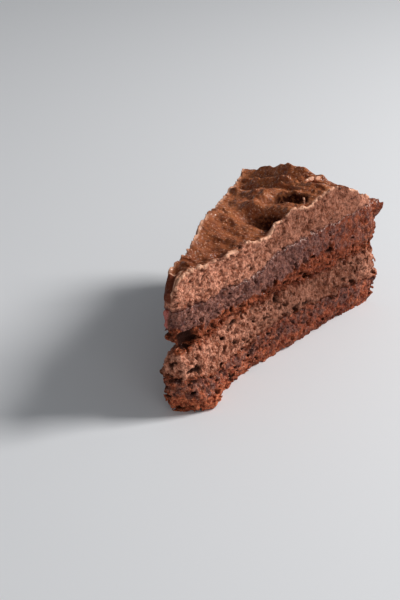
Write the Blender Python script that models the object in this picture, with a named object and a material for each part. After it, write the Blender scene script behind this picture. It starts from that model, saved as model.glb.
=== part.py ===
"""A slice of layered chocolate cake, standing on its flat base.

From the bottom up it is a moist lower sponge, a whipped chocolate cream filling, an upper
sponge and a thick whipped cream topping, smeared into troughs and ridges. Each layer runs
through the whole slice as its own closed solid.

The working coordinates are those of the whole cake: x across the slice, y outward from the
cake's centre along the slice's middle line, z up from the base. The object's own origin
lies on the base, on that middle line, ORIGIN_FROM_CENTRE out from the cake's centre.
"""

import math

import bmesh
import bpy
from mathutils import Vector, noise

MM = 0.001

# The whole cake and the slice cut from it
CAKE_RADIUS = 130 * MM
SLICE_ANGLE = math.radians(26)
HALF_SPREAD = math.tan(SLICE_ANGLE / 2)
ORIGIN_FROM_CENTRE = 72 * MM
LAYER_GAP = 0.3 * MM

# Heights of the layer boundaries on the middle line: (distance from the cake's centre, height)
LOWER_SPONGE_TOP = ((5, 14), (28, 11), (66, 15), (100, 13.5), (131, 11.5))
FILLING_TOP = ((5, 25), (50, 28.5), (95, 26.5), (131, 27))
UPPER_SPONGE_TOP = ((5, 41), (44, 40.5), (68, 45), (100, 45), (131, 46))

# How far a layer boundary climbs from the middle line to the right-hand cut, near the tip and at the rim
LAYER_TILT = (0.3 * MM, 0.6 * MM)
TILT_SPAN = (20 * MM, 110 * MM)

# Heights of the topping's surface along the left cut, the middle line and the right-hand cut
CROWN_LEFT = (
    (2, 48), (10, 53), (20, 55), (31, 55.8), (40, 57), (48, 58), (58, 58),
    (68, 56.8), (78, 55), (92, 53.8), (104, 52), (114, 54.5), (122, 50.5),
)
CROWN_MIDDLE = (
    (2, 49), (9, 55), (30, 54), (47, 55), (60, 55.5),
    (76, 58), (98, 60), (111, 60.5), (118, 57), (126, 50),
)
CROWN_RIGHT = (
    (2, 50), (9, 55), (28, 54.5), (44, 55.3), (51, 53.4), (55.5, 54.2), (61, 58), (74, 59.6),
    (82.5, 58), (91, 60), (101, 61), (106, 59), (111, 55.7), (117, 51.3), (122, 48),
)

# The tip is blunt: how far its front stands from the cake's centre, by height
TIP_FRONT = (
    (0, 9.5), (8, 6.8), (20, 6.2), (24, 6.8), (26.5, 8.6),
    (29.5, 7.2), (40, 6.5), (47, 5), (52, 3.6), (56, 7),
)
TIP_ROUNDING = 2.4 * MM
TIP_HALF_WIDTH = 4 * MM
LEAST_HALF_WIDTH = 1.8 * MM
TOE_SLANT = 2.4 * MM
TOE_SLANT_HEIGHTS = (2 * MM, 16 * MM)

# The outer side of the cake: distance from the centre by height, with a crust lip under the topping
RIM_FRONT = ((0, 129.5), (3, 131.6), (12, 132.4), (19, 130.8), (27, 129.4), (33, 131.6), (46, 132))
TOPPING_SET_BACK = 6.5 * MM
BACK_LEFT_ROUNDING = 4.5 * MM
BACK_LEFT_CORNER = (0.45, 1.1)

# Bulges of the cut faces out from their planes, negative where they sink in. Each has its distance
# from the cake's centre and its spread there, its height and its spread there, and its reach, in mm
TOE = (13, 17, 2, 15, 7.0)
LEFT_TOE = (11, 13, 14.5, 8.5, 3.6)
LEFT_FOOT = (9, 7, 5.5, 2.5, 1.6)
LEFT_BROW = (7, 10, 41, 11, 4.1)
LEFT_SHELF = (8, 6, 30.8, 2.6, 2.6)
LEFT_SHOULDER = (16, 5.5, 53, 5, 2.4)
NOTCH = (8, 6, 26.3, 1.5, -2.4)
WAIST = (65, 400, 27.5, 3, -1.0)
BELLY = (65, 400, 19, 6, 0.7)
UNDERCUT = (90, 45, 0, 2.5, -1.2)
EITHER_CUT_BULGES = (WAIST, BELLY, UNDERCUT)
CUT_BULGES = {1: (TOE,), -1: (LEFT_TOE, LEFT_FOOT, LEFT_BROW, LEFT_SHELF, LEFT_SHOULDER, NOTCH)}

# Surfaces over the plan keep rising or falling only this far past a cut, as a share of the half width
SHARE_LIMIT = 1.2

# Crags of torn crumb and cream on the cut faces, the tip and the outer side
COARSE_CRAG = 0.75 * MM
COARSE_CRAG_WIDTH = 9 * MM
FINE_CRAG = 0.45 * MM
FINE_CRAG_WIDTH = 4.5 * MM

# Faces along the slice, across it and up each layer
STEPS_ALONG_LAYER = 46
STEPS_ALONG_TOPPING = 66
STEPS_ACROSS_LAYER = 5
STEPS_ACROSS_TOPPING = 18
STEPS_UP = 6

# The topping's rows of faces lean the way that its troughs run
STROKE_LEAN = 0.34

# Rounds in which a point's height and its place in plan settle on each other
SETTLING_STEPS = 4

# Troughs smeared in the topping: start x, y and end x, y, then half width, depth and ridge height, in mm
TROUGHS = (
    (-9, 24, 6, 25, 3.6, 0.8, 1.2),
    (-13, 40, 9, 31, 6.0, 1.2, 0.8),
    (-19, 57, 10, 48, 4.2, 1.6, 0.6),
    (-19, 80, -4, 71, 3.8, 1.2, 0.8),
    (-3, 70, 14, 63, 4.6, 4.8, 0.6),
    (3, 63.5, 14, 58.5, 3.0, 2.4, 0.1),
    (5, 68, 14, 64.5, 2.6, 2.2, 0.1),
    (-20, 87, 8, 77, 3.4, 1.2, 1.0),
    (-1, 82, 12, 86.5, 3.4, 3.8, 1.2),
    (-24, 99, 6, 93, 4.2, 2.0, 1.2),
    (-22, 110, 20, 103, 3.6, 1.6, 1.9),
    (-27, 121, 22, 114, 3.6, 1.2, 0.6),
)

# Each trough fades in and out at its ends, over these distances before and after each end, in mm
TROUGH_START = (-4, 4)
TROUGH_END = (-2, 4)

# Troughs close this far inside the right-hand cut, and reach the left cut with a share of their depth
CLOSED_END = (0.6 * MM, 3.6 * MM)
LEFT_CUT_SHARE = 0.5

# Where a trough's ridges stand and how wide they are, as shares of its half width
RIDGE_PLACE = 1.6
RIDGE_SPREAD = 0.6

# How much of its height the ridge behind a trough has, and the one on the tip's side
RIDGE_SHARE = 0.7
NEAR_RIDGE_SHARE = 0.3

# Faint ripples between the troughs, and where troughs and ripples die out towards the rim
RIPPLE = 0.6 * MM
RIPPLE_LENGTH = 14 * MM
RIPPLE_WIDTH = 5 * MM
CALM_RIM = (114 * MM, 125 * MM)


def clear_scene():
    for obj in list(bpy.data.objects):
        bpy.data.objects.remove(obj)


def fade(start, end, value):
    """0 before start, 1 after end, and a smooth rise between them."""
    share = min(1.0, max(0.0, (value - start) / (end - start)))
    return share * share * (3 - 2 * share)


def swell(value, centre, spread):
    """A smooth hump of height 1 at centre."""
    return math.exp(-(((value - centre) / spread) ** 2))


def along_profile(stations, value):
    """The smooth curve through a profile's stations, both given in millimetres, read in metres."""
    place = value / MM
    if place <= stations[0][0]:
        return stations[0][1] * MM
    for (start, low), (end, high) in zip(stations, stations[1:]):
        if place <= end:
            return (low + (high - low) * fade(start, end, place)) * MM
    return stations[-1][1] * MM


def crag(x, y, z):
    """Torn crumb: coarse lumps with finer ones on them, running on from layer to layer."""
    place = Vector((x, y, z))
    coarse = noise.noise(place / COARSE_CRAG_WIDTH)
    fine = noise.noise(place / FINE_CRAG_WIDTH)
    return COARSE_CRAG * coarse + FINE_CRAG * fine


def cut_swell(side, y, z):
    """How far a cut face bulges from its plane: side is 1 on the right-hand cut and -1 on the left."""
    total = 0.0
    for y_centre, y_spread, z_centre, z_spread, reach in EITHER_CUT_BULGES + CUT_BULGES[side]:
        total += reach * swell(y / MM, y_centre, y_spread) * swell(z / MM, z_centre, z_spread)
    return total * MM


def side_x(side, y, z):
    """The x of a cut face at a given distance from the centre and height."""
    plane = y * HALF_SPREAD
    rough = crag(side * plane, y, z)
    return side * max(LEAST_HALF_WIDTH, plane + cut_swell(side, y, z) + rough)


def tip_y(share, z):
    """Where the blunt tip's front stands, at a share from -1 to 1 across it."""
    slant = TOE_SLANT * share * (1 - fade(*TOE_SLANT_HEIGHTS, z))
    rough = crag(share * TIP_HALF_WIDTH, 0, z)
    return along_profile(TIP_FRONT, z) + TIP_ROUNDING * share**4 + slant + rough


def rim_y(share, z, set_back):
    """Where the cake's round outer side stands, at a share from -1 to 1 across it."""
    angle = share * SLICE_ANGLE / 2
    corner = BACK_LEFT_ROUNDING * fade(*BACK_LEFT_CORNER, -share)
    rough = crag(angle * CAKE_RADIUS, CAKE_RADIUS, z)
    return (along_profile(RIM_FRONT, z) - set_back - corner + rough) * math.cos(angle)


def share_across(x, y):
    """Where a point stands between the middle line, 0, and the right-hand cut, 1."""
    return max(-SHARE_LIMIT, min(SHARE_LIMIT, x / (y * HALF_SPREAD)))


def tilt(pair, x, y):
    """How far a boundary climbs towards the right-hand cut."""
    return (pair[0] + (pair[1] - pair[0]) * fade(*TILT_SPAN, y)) * share_across(x, y)


def boundary(stations):
    """A layer boundary as a height over x and y."""
    return lambda x, y: along_profile(stations, y) + tilt(LAYER_TILT, x, y)


def trough_relief(x, y):
    """The smeared troughs, each with the ridges pushed up beside it."""
    total = 0.0
    for x0, y0, x1, y1, half_width, depth, ridge in TROUGHS:
        dx, dy = x1 - x0, y1 - y0
        length = math.hypot(dx, dy)
        px, py = x / MM - x0, y / MM - y0
        along = (px * dx + py * dy) / length
        across = (py * dx - px * dy) / length
        ends = fade(*TROUGH_START, along) * (1 - fade(*TROUGH_END, along - length))
        shape = -depth * swell(across, 0, half_width)
        crest = swell(abs(across), RIDGE_PLACE * half_width, RIDGE_SPREAD * half_width)
        shape += ridge * crest * (RIDGE_SHARE if across > 0 else NEAR_RIDGE_SHARE)
        total += shape * ends
    return total * MM


def towards_cuts(x, y):
    """How much of the troughs is left, beside each cut and between them."""
    half = y * HALF_SPREAD
    left = LEFT_CUT_SHARE + (1 - LEFT_CUT_SHARE) * fade(*CLOSED_END, half + x)
    return left * fade(*CLOSED_END, half - x)


def crown(x, y):
    """The topping's worked surface."""
    share = share_across(x, y)
    cut = CROWN_RIGHT if share > 0 else CROWN_LEFT
    height = along_profile(CROWN_MIDDLE, y)
    height += (along_profile(cut, y) - height) * fade(0, 1, abs(share))
    ripple = RIPPLE * noise.noise(Vector((x / RIPPLE_LENGTH, y / RIPPLE_WIDTH, 0.5)))
    calm = 1 - fade(*CALM_RIM, y)
    return height + (trough_relief(x, y) * towards_cuts(x, y) + ripple) * calm


def base(x, y):
    """The flat surface that the slice stands on."""
    return 0.0


def lattice_point(layer, along, across, up):
    """A point of a layer's lattice, from its shares along, across and up the layer."""
    share = 2 * across - 1
    side = 1 if share >= 0 else -1
    z = (layer["low"](0, ORIGIN_FROM_CENTRE) + layer["high"](0, ORIGIN_FROM_CENTRE)) / 2
    for _ in range(SETTLING_STEPS):
        front = tip_y(share, z)
        y = front + along * (rim_y(share, z, layer["set_back"]) - front)
        y -= layer["lean"] * share * y * HALF_SPREAD * 4 * along * (1 - along)
        x = abs(share) * side_x(side, y, z)
        low = layer["low"](x, y) + layer["lift"]
        z = low + up * (layer["high"](x, y) - low)
    return Vector((x, y - ORIGIN_FROM_CENTRE, z))


def lattice_skin(name, layer, counts):
    """A closed box lattice's outer faces, bent to the layer's form."""
    mesh = bmesh.new()
    corners = {}

    def corner(*place):
        if place not in corners:
            shares = [step / count for step, count in zip(place, counts)]
            corners[place] = mesh.verts.new(lattice_point(layer, *shares))
        return corners[place]

    for fixed in range(3):
        first, second = [axis for axis in range(3) if axis != fixed]
        for end in (0, counts[fixed]):
            for a in range(counts[first]):
                for b in range(counts[second]):
                    loop = []
                    for da, db in ((0, 0), (1, 0), (1, 1), (0, 1)):
                        place = [0, 0, 0]
                        place[fixed], place[first], place[second] = end, a + da, b + db
                        loop.append(corner(*place))
                    mesh.faces.new(loop)
    bmesh.ops.recalc_face_normals(mesh, faces=mesh.faces)
    data = bpy.data.meshes.new(name)
    mesh.to_mesh(data)
    mesh.free()
    data.shade_smooth()
    return data


def food_material(name, colour, roughness):
    material = bpy.data.materials.new(name)
    material.use_nodes = True
    shader = material.node_tree.nodes["Principled BSDF"]
    shader.inputs["Base Color"].default_value = (*colour, 1)
    shader.inputs["Roughness"].default_value = roughness
    shader.inputs["Metallic"].default_value = 0
    return material


def add_layer(name, layer, counts, material):
    obj = bpy.data.objects.new(name, lattice_skin(name, layer, counts))
    obj.data.materials.append(material)
    bpy.context.scene.collection.objects.link(obj)
    return obj


def layer_between(low, high, lift=LAYER_GAP, set_back=0.0, lean=0.0):
    return {"low": low, "high": high, "lift": lift, "set_back": set_back, "lean": lean}


def build():
    clear_scene()
    sponge = food_material("sponge", (0.135, 0.05, 0.033), 0.85)
    cream = food_material("whipped_chocolate_cream", (0.235, 0.1, 0.062), 0.5)
    lower_top = boundary(LOWER_SPONGE_TOP)
    filling_top = boundary(FILLING_TOP)
    upper_top = boundary(UPPER_SPONGE_TOP)
    lower = layer_between(base, lower_top, lift=0.0)
    filling = layer_between(lower_top, filling_top)
    upper = layer_between(filling_top, upper_top)
    topping = layer_between(upper_top, crown, set_back=TOPPING_SET_BACK, lean=STROKE_LEAN)
    layer_counts = (STEPS_ALONG_LAYER, STEPS_ACROSS_LAYER, STEPS_UP)
    add_layer("sponge_lower", lower, layer_counts, sponge)
    add_layer("cream_filling", filling, layer_counts, cream)
    add_layer("sponge_upper", upper, layer_counts, sponge)
    add_layer("cream_topping", topping, (STEPS_ALONG_TOPPING, STEPS_ACROSS_TOPPING, STEPS_UP), cream)


build()
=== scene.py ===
"""The dressed slice of chocolate cake: torn crumb, pitted cream and smeared topping.

Each layer is sampled as a field on a regular grid, positive inside the food. The form repeats the
solids' own, crags and pores are carved into it, and the layer's closed surface is read off where
the field crosses zero. Lengths are in millimetres in the whole cake's coordinates (x across the
slice, y outward from the cake's centre, z up) until a mesh is made, in metres in the row's frame.
"""
import math
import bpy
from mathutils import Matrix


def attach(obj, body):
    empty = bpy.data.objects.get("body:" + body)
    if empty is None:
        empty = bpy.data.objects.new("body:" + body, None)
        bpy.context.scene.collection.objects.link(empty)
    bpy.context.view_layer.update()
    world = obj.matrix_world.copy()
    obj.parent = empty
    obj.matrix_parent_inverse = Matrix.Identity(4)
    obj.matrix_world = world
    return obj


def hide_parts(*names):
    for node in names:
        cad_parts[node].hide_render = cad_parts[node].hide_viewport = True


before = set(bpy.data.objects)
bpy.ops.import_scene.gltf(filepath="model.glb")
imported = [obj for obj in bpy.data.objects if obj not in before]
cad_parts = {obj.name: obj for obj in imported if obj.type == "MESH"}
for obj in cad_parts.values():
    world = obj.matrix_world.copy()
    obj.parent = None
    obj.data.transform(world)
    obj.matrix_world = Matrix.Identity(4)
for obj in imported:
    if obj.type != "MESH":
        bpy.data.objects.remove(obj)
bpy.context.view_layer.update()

from types import SimpleNamespace

import bpy
import numpy as np
from mathutils import Vector, noise

MM = 0.001
RANDOM = np.random.default_rng(26)

# A distance beyond all others, in millimetres
FAR = 9.0

# The sample grid
STEP = 0.38
GRID_LOW = np.array([-32.0, 2.0, -1.5])
GRID_HIGH = np.array([32.0, 133.0, 66.0])

# The whole cake and the slice cut from it
CAKE_RADIUS = 130
SLICE_ANGLE = math.radians(26)
HALF_SPREAD = math.tan(SLICE_ANGLE / 2)
ORIGIN_FROM_CENTRE = 72

# Heights of the layer boundaries on the middle line: (distance from the cake's centre, height)
LOWER_SPONGE_TOP = ((5, 14), (28, 11), (66, 15), (100, 13.5), (131, 11.5))
FILLING_TOP = ((5, 25), (50, 28.5), (95, 26.5), (131, 27))
UPPER_SPONGE_TOP = ((5, 41), (44, 40.5), (68, 45), (100, 45), (131, 46))
SOAKED_BAND_FOOT = (
    (5, 33.5), (11, 32), (38, 32.4), (60, 32.8), (82, 35), (95, 34.3), (107, 31.4), (131, 29),
)
LAYER_TILT = (0.3, 0.6)
TILT_SPAN = (20, 110)
MOST_SHARE = 1.2
# The seams' unevenness, each part given by its height and wave, and how much more the soaked band has
SEAM_NOISE = ((0.3, 6), (0.4, 2.8), (0.22, 1.3))
SOAKED_FOOT_WOBBLE = 2.0

# Heights of the topping's surface along the left cut, the middle line and the right-hand cut
CROWN_LEFT = (
    (2, 48), (10, 53), (20, 55), (31, 55.8), (40, 57), (48, 58), (58, 58),
    (68, 56.8), (78, 55), (92, 53.8), (104, 52), (114, 54.5), (122, 50.5),
)
CROWN_MIDDLE = (
    (2, 49), (9, 55), (30, 54), (47, 55), (60, 55.5),
    (76, 58), (98, 60), (111, 60.5), (118, 57), (126, 50),
)
CROWN_RIGHT = (
    (2, 50), (9, 55), (28, 54.5), (44, 55.3), (51, 53.4), (55.5, 54.2), (61, 58), (74, 59.6),
    (82.5, 58), (91, 60), (101, 61), (106, 59), (111, 55.7), (117, 51.3), (122, 48),
)
CALM_RIM = (114, 125)

# The blunt tip and the round outer side: distance from the cake's centre by height
TIP_FRONT = (
    (0, 9.5), (8, 6.8), (20, 6.2), (24, 6.8), (26.5, 8.6),
    (29.5, 7.2), (40, 6.5), (47, 5), (52, 3.6), (56, 7),
)
TIP_ROUNDING = 2.4
TIP_HALF_WIDTH = 4
LEAST_HALF_WIDTH = 1.8
TOE_SLANT = 2.4
TOE_SLANT_HEIGHTS = (2, 16)
RIM_FRONT = ((0, 129.5), (3, 131.6), (12, 132.4), (19, 130.8), (27, 129.4), (33, 131.6), (46, 132))
TOPPING_SET_BACK = 6.5
BACK_LEFT_ROUNDING = 4.5
BACK_LEFT_CORNER = (0.45, 1.1)
# Where the slice's width is taken for the tip's and the rim's shares, and the shares' limits
TIP_WIDTH_PLACE = 11
RIM_WIDTH_PLACE = 126
WIDTH_SHARES = (-1.3, 1.15)
# How widely the faces are rounded into one another
CUT_BLEND = 0.8
END_BLEND = 1.2
TOPPING_BLEND = 1.5

# Bulges of the cut faces: y and its spread, z and its spread, and how far they stand out
TOE = (13, 17, 2, 15, 7.0)
LEFT_TOE = (11, 13, 14.5, 8.5, 3.6)
LEFT_FOOT = (9, 7, 5.5, 2.5, 1.6)
LEFT_BROW = (7, 10, 41, 11, 4.1)
LEFT_SHELF = (8, 6, 30.8, 2.6, 2.6)
LEFT_SHOULDER = (16, 5.5, 53, 5, 2.4)
NOTCH = (8, 6, 26.3, 1.5, -2.4)
WAIST = (65, 400, 27.5, 3, -1.0)
BELLY = (65, 400, 19, 6, 0.7)
UNDERCUT = (90, 45, 0, 2.5, -1.2)
EITHER_CUT_BULGES = (WAIST, BELLY, UNDERCUT)
CUT_BULGES = {1: (TOE,), -1: (LEFT_TOE, LEFT_FOOT, LEFT_BROW, LEFT_SHELF, LEFT_SHOULDER, NOTCH)}
BASE_UNDERCUT = 1.0
BASE_UNDERCUT_TOP = (5, 0.5)
BASE_UNDERCUT_START = (22, 34)
COARSE_CRAG = 0.75
COARSE_CRAG_WIDTH = 9
FINE_CRAG = 0.45
FINE_CRAG_WIDTH = 4.5

# Troughs smeared in the topping: start x, y and end x, y, then half width, depth and ridge height
TROUGHS = (
    (-9, 24, 6, 25, 3.6, 0.8, 1.2),
    (-13, 40, 9, 31, 6.0, 1.2, 0.8),
    (-19, 57, 10, 48, 4.2, 1.6, 0.6),
    (-19, 80, -4, 71, 3.8, 1.2, 0.8),
    (-3, 70, 14, 63, 4.6, 4.8, 0.6),
    (-20, 87, 8, 77, 3.4, 1.2, 1.0),
    (-1, 82, 12, 86.5, 3.4, 3.8, 1.2),
    (-24, 99, 6, 93, 4.2, 2.0, 1.2),
    (-22, 110, 20, 103, 3.6, 1.6, 1.9),
    (-27, 121, 22, 114, 3.6, 1.2, 0.6),
)
TROUGH_START = (-4, 4)
TROUGH_END = (-2, 4)
RIDGE_PLACE = 1.6
RIDGE_SPREAD = 0.6
RIDGE_SHARE = 0.7
NEAR_RIDGE_SHARE = 0.3
# How far inside the right-hand cut the troughs close, and how much of them the left cut shows
CLOSED_END = (0.6, 3.6)
LEFT_CUT_SHARE = 0.5
STROKE_LEAN = -0.34
STROKE_DIRECTION = math.atan2(STROKE_LEAN, 1)

# Finer strokes and creases in the topping, given as the troughs are
STROKES = (
    (3, 63.5, 14, 58.5, 3.0, 2.4, 0.1),
    (5, 68, 14, 64.5, 2.6, 2.2, 0.1),
    (-5, 80, 7, 76.5, 0.7, 1.0, 0.4),
    (-15, 66, -4, 63, 1.3, 0.7, 0.5),
    (-5, 95, 13, 92, 1.1, 0.9, 0.5),
    (-22, 104, 0, 98, 1.0, 0.8, 0.6),
    (4, 106, 16, 104, 1.2, 1.0, 0.8),
    (-6, 20.5, 4, 21.5, 1.3, 0.7, 0.7),
    (-4, 15.5, 4, 16.5, 0.9, 0.6, 0.5),
)
# How far the topping's crests lean over toward the tip, for each unit that they rise above a height
CREST_LEAN = 0.34
LEAN_HEIGHT = 55.0
# Unevenness of the topping, each part given by its height and wave
CREST_NOISE = ((0.5, 4), (0.35, 1.8))
STROKE_BEND = ((0.8, 6),)
FINE_STROKE_BEND = ((0.3, 2),)
SKIN_NOISE = ((0.25, 2.2), (0.12, 1.0))
# Streaks along the strokes, their waves along and across, and how far the fine ones are broken up
STREAK_HEIGHT = 0.24
STREAK_WAVES = (14, 3.0)
FINE_STREAK_HEIGHT = 0.14
FINE_STREAK_WAVES = (7, 1.0)
BROKEN_SHARE = 0.6
BROKEN_RANGE = (-0.8, 1.2)
BROKEN_WAVE = 7
# Small raised flakes, where a noise rises through a range
FLAKE_HEIGHT = 0.6
FLAKE_RANGE = (1.5, 2.6)
FLAKE_WAVE = 1.3
RIM_RELIEF = 0.35
# The lip that the knife raised along the topping's cut edges
LIP_LEVEL = 54.0
LIP_HEIGHT = 0.4
LIP_WIDTH = 0.7
LIP_NOISE = ((0.4, 2),)
# Painted shade darkens the skin where it lies this far below the ground round it
SUNK_REACH = 7.0
SUNK_RANGE = (0.8, 3.8)
MOST_SUNK = 0.95


def axis_samples(axis):
    count = int((GRID_HIGH[axis] - GRID_LOW[axis]) / STEP) + 1
    return (GRID_LOW[axis] + STEP * np.arange(count)).astype(np.float32)


XS, YS, ZS = (axis_samples(axis) for axis in range(3))
SHAPE = (len(XS), len(YS), len(ZS))
X = XS[:, None, None]
Y = YS[None, :, None]
Z = ZS[None, None, :]
# How far across the slice each sample of the plan lies, from -1 on the left cut to 1 on the right
ACROSS = np.clip(X / (Y * HALF_SPREAD), -MOST_SHARE, MOST_SHARE)


def fade(start, end, value):
    """0 before start, 1 after end, and a smooth rise between them."""
    share = np.clip((value - start) / (end - start), 0, 1)
    return share * share * (3 - 2 * share)


def swell(value, centre, spread):
    """A smooth hump of height 1 at centre."""
    return np.exp(-(((value - centre) / spread) ** 2))


def at_least(low, share):
    """A share from 0 to 1, brought into the range from low to 1."""
    return low + (1 - low) * share


def along_profile(stations, value):
    """The smooth curve through a profile's stations."""
    height = stations[0][1] + 0 * value
    for (start, low), (end, high) in zip(stations, stations[1:]):
        height = height + (high - low) * fade(start, end, value)
    return height


def blend_min(a, b, radius):
    """The smaller of two fields, rounded over where they meet."""
    share = np.clip(0.5 + 0.5 * (b - a) / radius, 0, 1)
    return b + (a - b) * share - radius * share * (1 - share)


def crag(x, y, z):
    """The solids' torn lumps, at every pair of the values given, broadcast together."""
    x, y, z = np.broadcast_arrays(x, y, z)
    out = np.empty(x.shape, np.float32)
    for place in np.ndindex(x.shape):
        point = Vector((x[place], y[place], z[place]))
        coarse = noise.noise(point / COARSE_CRAG_WIDTH)
        out[place] = COARSE_CRAG * coarse + FINE_CRAG * noise.noise(point / FINE_CRAG_WIDTH)
    return out


def side_x(side, y, z):
    """How far each cut face stands from the middle line, over y and z."""
    swelling = 0
    for y_centre, y_spread, z_centre, z_spread, reach in EITHER_CUT_BULGES + CUT_BULGES[side]:
        swelling = swelling + reach * swell(y, y_centre, y_spread) * swell(z, z_centre, z_spread)
    plane = y * HALF_SPREAD
    return np.maximum(LEAST_HALF_WIDTH, plane + swelling + crag(side * plane, y, z))


def tip_y(share, z):
    """Where the blunt tip's front stands, at a share from -1 to 1 across it."""
    slant = TOE_SLANT * share * (1 - fade(*TOE_SLANT_HEIGHTS, z))
    rough = crag(share * TIP_HALF_WIDTH, 0, z)
    return along_profile(TIP_FRONT, z) + TIP_ROUNDING * share**4 + slant + rough


def rim_y(share, z):
    """Where the round outer side stands, at a share from -1 to 1 across it."""
    angle = share * SLICE_ANGLE / 2
    corner = BACK_LEFT_ROUNDING * fade(*BACK_LEFT_CORNER, -share)
    rough = crag(angle * CAKE_RADIUS, CAKE_RADIUS, z)
    return (along_profile(RIM_FRONT, z) - corner + rough) * np.cos(angle)


def boundary(stations):
    """A layer boundary's height over the plan."""
    tilt = LAYER_TILT[0] + (LAYER_TILT[1] - LAYER_TILT[0]) * fade(*TILT_SPAN, Y)
    return along_profile(stations, Y) + tilt * ACROSS


def spline_weights(count, wave):
    """Weights that spread a row of random knots, one wave apart, smoothly over count samples."""
    place = np.arange(count) * STEP / wave
    base = place.astype(int)
    t = place - base
    table = np.zeros((count, base[-1] + 4), np.float32)
    pieces = ((1 - t) ** 3, 3 * t**3 - 6 * t**2 + 4, -3 * t**3 + 3 * t**2 + 3 * t + 1, t**3)
    for offset, piece in enumerate(pieces):
        table[np.arange(count), base + offset] = piece / 6
    return table


def smooth_noise(waves, shape=SHAPE):
    """A smooth random field of mean 0 and spread 1, its lumps about one wave long on each axis."""
    tables = [spline_weights(count, wave) for count, wave in zip(shape, waves)]
    field = RANDOM.standard_normal([table.shape[1] for table in tables]).astype(np.float32)
    for axis, table in enumerate(tables):
        field = np.moveaxis(np.tensordot(table, field, (1, axis)), 0, axis)
    return field / field.std()


def leaning_noise(along, across, lean):
    """A flat random field whose streaks run along x and fall by lean in y."""
    extra = int(abs(lean) * (GRID_HIGH[0] - GRID_LOW[0]) / STEP) + 4
    flat = smooth_noise((along, across), (SHAPE[0], SHAPE[1] + extra))
    rows = np.arange(SHAPE[0])[:, None]
    place = np.arange(SHAPE[1])[None, :] - lean * rows
    place = place - place.min()
    base = np.minimum(place.astype(int), flat.shape[1] - 2)
    t = place - base
    return ((1 - t) * flat[rows, base] + t * flat[rows, base + 1])[:, :, None]


def flat_noise(wave):
    return smooth_noise((wave, wave), SHAPE[:2])[:, :, None]


def noise_sum(parts):
    """Flat random fields added up, each given by its height and wave."""
    return sum(height * flat_noise(wave) for height, wave in parts)


def trough_relief(troughs, x, y, unevenness):
    """Smeared troughs and the ridges beside them, their crests broken up unevenly."""
    total = 0
    for x0, y0, x1, y1, half_width, depth, ridge in troughs:
        dx, dy = x1 - x0, y1 - y0
        length = math.hypot(dx, dy)
        px, py = x - x0, y - y0
        along = (px * dx + py * dy) / length
        across = (py * dx - px * dy) / length
        ends = fade(*TROUGH_START, along) * (1 - fade(*TROUGH_END, along - length))
        crest = np.abs(np.abs(across) - RIDGE_PLACE * half_width) / (RIDGE_SPREAD * half_width)
        share = np.where(across > 0, RIDGE_SHARE, NEAR_RIDGE_SHARE)
        shape = -depth * swell(across, 0, half_width)
        shape = shape + share * ridge * (1 + unevenness) * np.exp(-(crest**1.5))
        total = total + shape * ends
    return total


def crown_height():
    """The topping's worked surface over the plan."""
    middle = along_profile(CROWN_MIDDLE, Y)
    cut = np.where(ACROSS > 0, along_profile(CROWN_RIGHT, Y), along_profile(CROWN_LEFT, Y))
    height = middle + (cut - middle) * fade(0, 1, np.abs(ACROSS))
    uneven = noise_sum(CREST_NOISE)
    bent = Y + noise_sum(STROKE_BEND)
    relief = trough_relief(TROUGHS, X, bent, uneven)
    relief = relief + trough_relief(STROKES, X, bent + noise_sum(FINE_STROKE_BEND), uneven)
    half = Y * HALF_SPREAD
    left_end = at_least(LEFT_CUT_SHARE, fade(*CLOSED_END, half * (1 + ACROSS)))
    relief = relief * left_end * fade(*CLOSED_END, half * (1 - ACROSS))
    broken = at_least(BROKEN_SHARE, fade(*BROKEN_RANGE, flat_noise(BROKEN_WAVE)))
    relief = relief + STREAK_HEIGHT * leaning_noise(*STREAK_WAVES, STROKE_LEAN)
    relief = relief + FINE_STREAK_HEIGHT * broken * leaning_noise(*FINE_STREAK_WAVES, STROKE_LEAN)
    for size, wave in SKIN_NOISE:
        relief = relief + size * flat_noise(wave)
    relief = relief + FLAKE_HEIGHT * fade(*FLAKE_RANGE, flat_noise(FLAKE_WAVE))
    return height + relief * at_least(RIM_RELIEF, 1 - fade(*CALM_RIM, Y))


def cut_lip():
    """The lip along the topping's cut edges."""
    right, left = (side_x(side, Y, np.array([[[LIP_LEVEL]]])) for side in (1, -1))
    from_edge = np.minimum(right - X, X + left)
    return LIP_HEIGHT * swell(from_edge, 0, LIP_WIDTH) * (1 + noise_sum(LIP_NOISE))


def smoothed(crown):
    """The crown's height, evened out over a few millimetres round each sample."""
    reach = int(SUNK_REACH / STEP)
    for axis in (0, 1):
        pad = [(reach + 1, reach) if a == axis else (0, 0) for a in range(3)]
        sums = np.cumsum(np.pad(crown, pad, mode="edge"), axis)
        high = np.take(sums, range(2 * reach + 1, sums.shape[axis]), axis)
        low = np.take(sums, range(sums.shape[axis] - 2 * reach - 1), axis)
        crown = (high - low) / (2 * reach + 1)
    return crown


def lean_over(crown, levels):
    """The room under the crown at each sample, its crests leant over toward the tip."""
    room = np.empty((*SHAPE[:2], len(levels)), np.float32)
    last = SHAPE[1] - 1
    for row, level in enumerate(levels):
        place = np.arange(SHAPE[1]) + CREST_LEAN * (level - LEAN_HEIGHT) / STEP
        place = np.clip(place, 0, last)
        base = np.minimum(place.astype(int), last - 1)
        t = (place - base)[None, :]
        room[:, :, row] = (1 - t) * crown[:, base, 0] + t * crown[:, base + 1, 0] - level
    return room


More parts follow.
